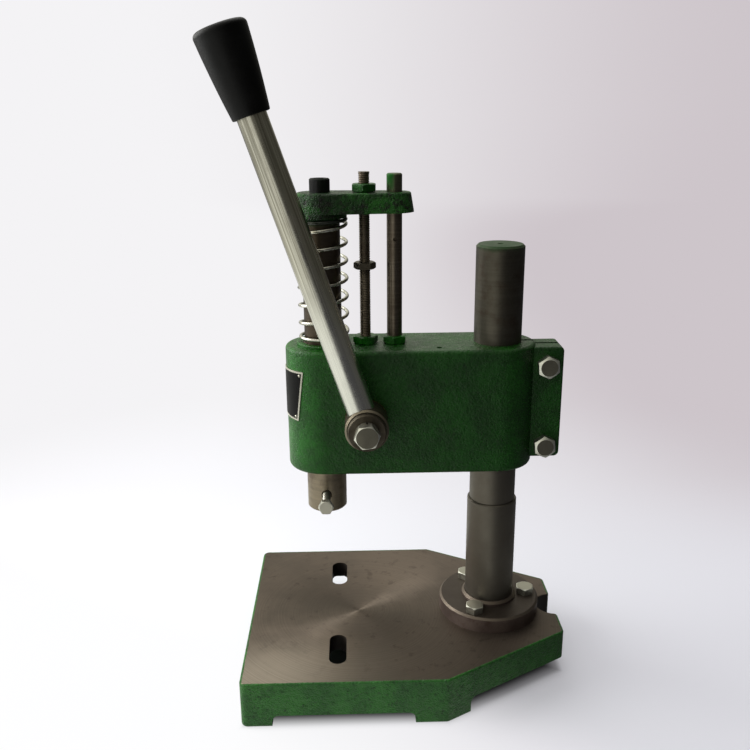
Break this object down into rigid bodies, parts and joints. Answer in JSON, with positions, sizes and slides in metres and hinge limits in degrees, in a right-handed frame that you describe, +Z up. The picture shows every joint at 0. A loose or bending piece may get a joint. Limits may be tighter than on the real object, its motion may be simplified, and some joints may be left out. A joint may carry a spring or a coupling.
{
  "type": "bench hand press",
  "caption": "Bench hand press: a round-ended head on a bolted column, with a lever, pinion and rack ram, return spring, depth stop and slotted table.",
  "frame": {"origin": "centre of the overall box in plan, on the surface that the feet stand on", "axes": "+X from the ram towards the column, +Y away from the lever's side, +Z up"},
  "size_m": [0.2558, 0.19, 0.4781],
  "materials": {
    "green_paint": "semi-gloss enamel on a casting",
    "bare_iron": "turned and lightly browned",
    "ground_steel": "ground and oiled",
    "bright_steel": "drawn bright",
    "dull_steel": "turned, dull",
    "zinc_steel": "zinc plated",
    "black_steel": "black oxide",
    "painted_steel": "steel with overspray",
    "bronze": "bearing bronze",
    "spring_wire": "drawn spring wire",
    "black_plastic": "moulded, satin"
  },
  "bodies": {
    "base": {"base_casting": "green_paint", "column_flange": "bare_iron", "column": "ground_steel", "flange_bolts": "zinc_steel"},
    "head": {"head_casting": "green_paint", "clamp_bolts": "zinc_steel", "return_spring": "spring_wire", "depth_stop_stud": "dull_steel", "stud_lock_nut": "painted_steel", "stud_top_nut": "painted_steel", "guide_rod": "dull_steel", "guide_rod_nut": "painted_steel", "near_bush": "bronze", "far_bush": "bronze", "pinion_cover": "green_paint", "cover_screws": "black_steel"},
    "ram": {"ram": "ground_steel", "tool_clamp_screw": "zinc_steel", "yoke": "painted_steel", "yoke_cap_screw": "black_steel"},
    "lever": {"pinion_shaft": "ground_steel", "lever_hub": "dull_steel", "hub_key": "dull_steel", "hub_end_washer": "dull_steel", "hub_spring_washer": "zinc_steel", "hub_bolt": "zinc_steel", "lever_rod": "bright_steel", "lever_grip": "black_plastic"},
    "depth_stop": {"depth_stop_nut": "dull_steel"}
  },
  "joints": [
    {"name": "head_slide", "type": "slide", "parent": "base", "child": "head", "axis": [0, 0, 1], "range_m": [-0.0315, 0.06]},
    {"name": "ram_slide", "type": "slide", "parent": "head", "child": "ram", "axis": [0, 0, -1], "range_m": [0, 0.035], "stiffness_N_per_m": 1503, "springref_m": -0.037, "deforming": ["return_spring"]},
    {"name": "lever_spin", "type": "hinge", "parent": "head", "child": "lever", "pos_m": [-0.02361, -0.0409, 0.2095], "axis": [0, -1, 0], "range_deg": [0, 111.41]},
    {"name": "stop_slide", "type": "slide", "parent": "head", "child": "depth_stop", "axis": [0, 0, -1], "range_m": [0, 0.0488]}
  ],
  "couplings": [
    {"joint": "lever_spin", "follows": "ram_slide", "rad_per_m": 55.556}
  ]
}
